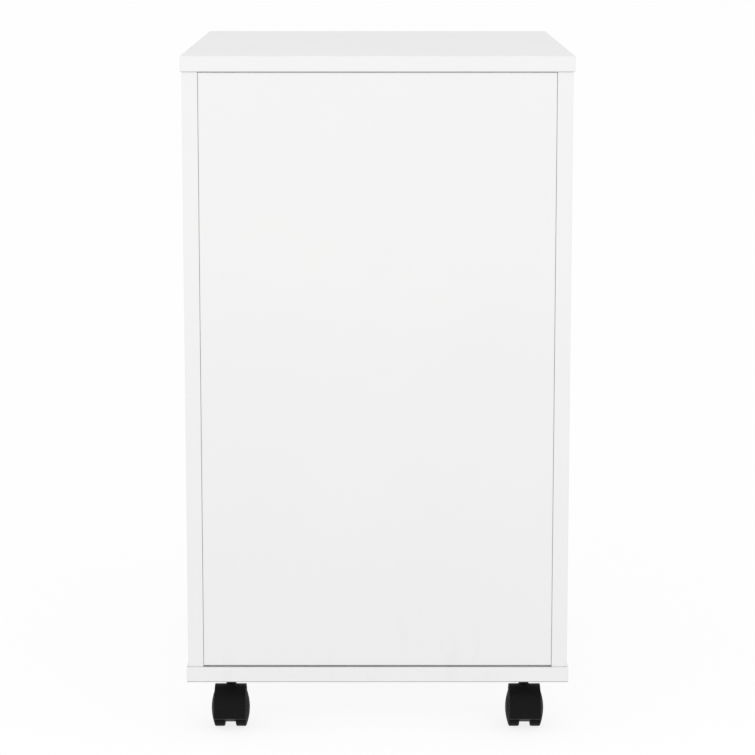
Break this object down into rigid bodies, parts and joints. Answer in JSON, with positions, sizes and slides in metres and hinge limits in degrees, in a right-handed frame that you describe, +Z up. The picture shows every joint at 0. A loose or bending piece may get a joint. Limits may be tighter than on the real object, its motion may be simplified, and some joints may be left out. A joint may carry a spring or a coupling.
{
  "type": "rolling pedestal cabinet",
  "caption": "Low white laminate pedestal with a plain back, pull-out box and file drawers on telescopic slides, and black twin-wheel swivel casters.",
  "frame": {"origin": "on the floor, under the middle of the overall box, handles included", "axes": "+Z up, +Y towards the plain back, -Y towards the drawers, +X to the right of a person facing the drawers"},
  "size_m": [0.396, 0.548, 0.702],
  "materials": {
    "white_laminate": "satin white laminate on particle board",
    "drawer_laminate": "matt white laminate on particle board",
    "drawer_bottom_board": "matt white faced fibreboard",
    "handle_steel": "satin nickel plate",
    "screw_steel": "bright zinc plate",
    "slide_steel": "bright zinc plate",
    "fixing_zinc": "die-cast zinc",
    "beech_dowel": "fluted raw beech",
    "rail_plastic": "extruded, fine matt",
    "bumper_rubber": "soft milky polyurethane",
    "caster_plastic": "moulded nylon, soft sheen",
    "wheel_plastic": "moulded nylon, soft sheen",
    "axle_steel": "plain turned",
    "stem_steel": "black oxide"
  },
  "bodies": {
    "carcass": {"top_panel": "white_laminate", "base_panel": "white_laminate", "left_side_panel": "white_laminate", "right_side_panel": "white_laminate", "back_panel": "white_laminate", "carcass_cam_locks": "fixing_zinc", "carcass_cam_bolts": "fixing_zinc", "carcass_dowels": "beech_dowel", "upper_drawer_outer_slides": "slide_steel", "middle_drawer_outer_slides": "slide_steel", "file_drawer_outer_slides": "slide_steel", "caster_tee_nuts": "fixing_zinc", "caster_stems": "stem_steel"},
    "upper_drawer": {"upper_drawer_front": "white_laminate", "upper_drawer_box_left_side": "drawer_laminate", "upper_drawer_box_right_side": "drawer_laminate", "upper_drawer_box_back": "drawer_laminate", "upper_drawer_box_bottom": "drawer_bottom_board", "upper_drawer_handle": "handle_steel", "upper_drawer_handle_screws": "screw_steel", "upper_drawer_inner_slides": "slide_steel"},
    "upper_drawer_left_middle_slide": {"upper_drawer_left_middle_slide": "slide_steel"},
    "upper_drawer_right_middle_slide": {"upper_drawer_right_middle_slide": "slide_steel"},
    "middle_drawer": {"middle_drawer_front": "white_laminate", "middle_drawer_box_left_side": "drawer_laminate", "middle_drawer_box_right_side": "drawer_laminate", "middle_drawer_box_back": "drawer_laminate", "middle_drawer_box_bottom": "drawer_bottom_board", "middle_drawer_handle": "handle_steel", "middle_drawer_handle_screws": "screw_steel", "middle_drawer_inner_slides": "slide_steel"},
    "middle_drawer_left_middle_slide": {"middle_drawer_left_middle_slide": "slide_steel"},
    "middle_drawer_right_middle_slide": {"middle_drawer_right_middle_slide": "slide_steel"},
    "file_drawer": {"file_drawer_front": "white_laminate", "file_drawer_box_left_side": "drawer_laminate", "file_drawer_box_right_side": "drawer_laminate", "file_drawer_box_back": "drawer_laminate", "file_drawer_box_bottom": "drawer_bottom_board", "file_drawer_handle": "handle_steel", "file_drawer_handle_screws": "screw_steel", "file_drawer_inner_slides": "slide_steel", "file_drawer_hanger_rails": "rail_plastic"},
    "file_drawer_left_middle_slide": {"file_drawer_left_middle_slide": "slide_steel"},
    "file_drawer_right_middle_slide": {"file_drawer_right_middle_slide": "slide_steel"},
    "front_left_caster": {"front_left_caster_hood": "caster_plastic", "front_left_caster_axle": "axle_steel"},
    "front_left_caster_left_wheel": {"front_left_caster_left_wheel": "wheel_plastic"},
    "front_left_caster_right_wheel": {"front_left_caster_right_wheel": "wheel_plastic"},
    "front_right_caster": {"front_right_caster_hood": "caster_plastic", "front_right_caster_axle": "axle_steel"},
    "front_right_caster_left_wheel": {"front_right_caster_left_wheel": "wheel_plastic"},
    "front_right_caster_right_wheel": {"front_right_caster_right_wheel": "wheel_plastic"},
    "back_left_caster": {"back_left_caster_hood": "caster_plastic", "back_left_caster_axle": "axle_steel"},
    "back_left_caster_left_wheel": {"back_left_caster_left_wheel": "wheel_plastic"},
    "back_left_caster_right_wheel": {"back_left_caster_right_wheel": "wheel_plastic"},
    "back_right_caster": {"back_right_caster_hood": "caster_plastic", "back_right_caster_axle": "axle_steel"},
    "back_right_caster_left_wheel": {"back_right_caster_left_wheel": "wheel_plastic"},
    "back_right_caster_right_wheel": {"back_right_caster_right_wheel": "wheel_plastic"}
  },
  "joints": [
    {"name": "upper_drawer_slide", "type": "slide", "parent": "carcass", "child": "upper_drawer", "axis": [0, -1, 0], "range_m": [0, 0.45]},
    {"name": "upper_drawer_left_middle_slide_run", "type": "slide", "parent": "carcass", "child": "upper_drawer_left_middle_slide", "axis": [0, -1, 0], "range_m": [0, 0.225]},
    {"name": "upper_drawer_right_middle_slide_run", "type": "slide", "parent": "carcass", "child": "upper_drawer_right_middle_slide", "axis": [0, -1, 0], "range_m": [0, 0.225]},
    {"name": "middle_drawer_slide", "type": "slide", "parent": "carcass", "child": "middle_drawer", "axis": [0, -1, 0], "range_m": [0, 0.45]},
    {"name": "middle_drawer_left_middle_slide_run", "type": "slide", "parent": "carcass", "child": "middle_drawer_left_middle_slide", "axis": [0, -1, 0], "range_m": [0, 0.225]},
    {"name": "middle_drawer_right_middle_slide_run", "type": "slide", "parent": "carcass", "child": "middle_drawer_right_middle_slide", "axis": [0, -1, 0], "range_m": [0, 0.225]},
    {"name": "file_drawer_slide", "type": "slide", "parent": "carcass", "child": "file_drawer", "axis": [0, -1, 0], "range_m": [0, 0.45]},
    {"name": "file_drawer_left_middle_slide_run", "type": "slide", "parent": "carcass", "child": "file_drawer_left_middle_slide", "axis": [0, -1, 0], "range_m": [0, 0.225]},
    {"name": "file_drawer_right_middle_slide_run", "type": "slide", "parent": "carcass", "child": "file_drawer_right_middle_slide", "axis": [0, -1, 0], "range_m": [0, 0.225]},
    {"name": "front_left_caster_swivel", "type": "hinge", "parent": "carcass", "child": "front_left_caster", "pos_m": [-0.154, -0.199, 0], "axis": [0, 0, 1], "continuous": true},
    {"name": "front_left_caster_left_wheel_spin", "type": "hinge", "parent": "front_left_caster", "child": "front_left_caster_left_wheel", "pos_m": [-0.154, -0.184, 0.02], "axis": [1, 0, 0], "continuous": true},
    {"name": "front_left_caster_right_wheel_spin", "type": "hinge", "parent": "front_left_caster", "child": "front_left_caster_right_wheel", "pos_m": [-0.154, -0.184, 0.02], "axis": [1, 0, 0], "continuous": true},
    {"name": "front_right_caster_swivel", "type": "hinge", "parent": "carcass", "child": "front_right_caster", "pos_m": [0.154, -0.199, 0], "axis": [0, 0, 1], "continuous": true},
    {"name": "front_right_caster_left_wheel_spin", "type": "hinge", "parent": "front_right_caster", "child": "front_right_caster_left_wheel", "pos_m": [0.154, -0.184, 0.02], "axis": [1, 0, 0], "continuous": true},
    {"name": "front_right_caster_right_wheel_spin", "type": "hinge", "parent": "front_right_caster", "child": "front_right_caster_right_wheel", "pos_m": [0.154, -0.184, 0.02], "axis": [1, 0, 0], "continuous": true},
    {"name": "back_left_caster_swivel", "type": "hinge", "parent": "carcass", "child": "back_left_caster", "pos_m": [-0.154, 0.23, 0], "axis": [0, 0, 1], "continuous": true},
    {"name": "back_left_caster_left_wheel_spin", "type": "hinge", "parent": "back_left_caster", "child": "back_left_caster_left_wheel", "pos_m": [-0.154, 0.245, 0.02], "axis": [1, 0, 0], "continuous": true},
    {"name": "back_left_caster_right_wheel_spin", "type": "hinge", "parent": "back_left_caster", "child": "back_left_caster_right_wheel", "pos_m": [-0.154, 0.245, 0.02], "axis": [1, 0, 0], "continuous": true},
    {"name": "back_right_caster_swivel", "type": "hinge", "parent": "carcass", "child": "back_right_caster", "pos_m": [0.154, 0.23, 0], "axis": [0, 0, 1], "continuous": true},
    {"name": "back_right_caster_left_wheel_spin", "type": "hinge", "parent": "back_right_caster", "child": "back_right_caster_left_wheel", "pos_m": [0.154, 0.245, 0.02], "axis": [1, 0, 0], "continuous": true},
    {"name": "back_right_caster_right_wheel_spin", "type": "hinge", "parent": "back_right_caster", "child": "back_right_caster_right_wheel", "pos_m": [0.154, 0.245, 0.02], "axis": [1, 0, 0], "continuous": true}
  ],
  "couplings": [
    {"joint": "upper_drawer_left_middle_slide_run", "follows": "upper_drawer_slide", "ratio": 0.5},
    {"joint": "upper_drawer_right_middle_slide_run", "follows": "upper_drawer_slide", "ratio": 0.5},
    {"joint": "middle_drawer_left_middle_slide_run", "follows": "middle_drawer_slide", "ratio": 0.5},
    {"joint": "middle_drawer_right_middle_slide_run", "follows": "middle_drawer_slide", "ratio": 0.5},
    {"joint": "file_drawer_left_middle_slide_run", "follows": "file_drawer_slide", "ratio": 0.5},
    {"joint": "file_drawer_right_middle_slide_run", "follows": "file_drawer_slide", "ratio": 0.5}
  ]
}
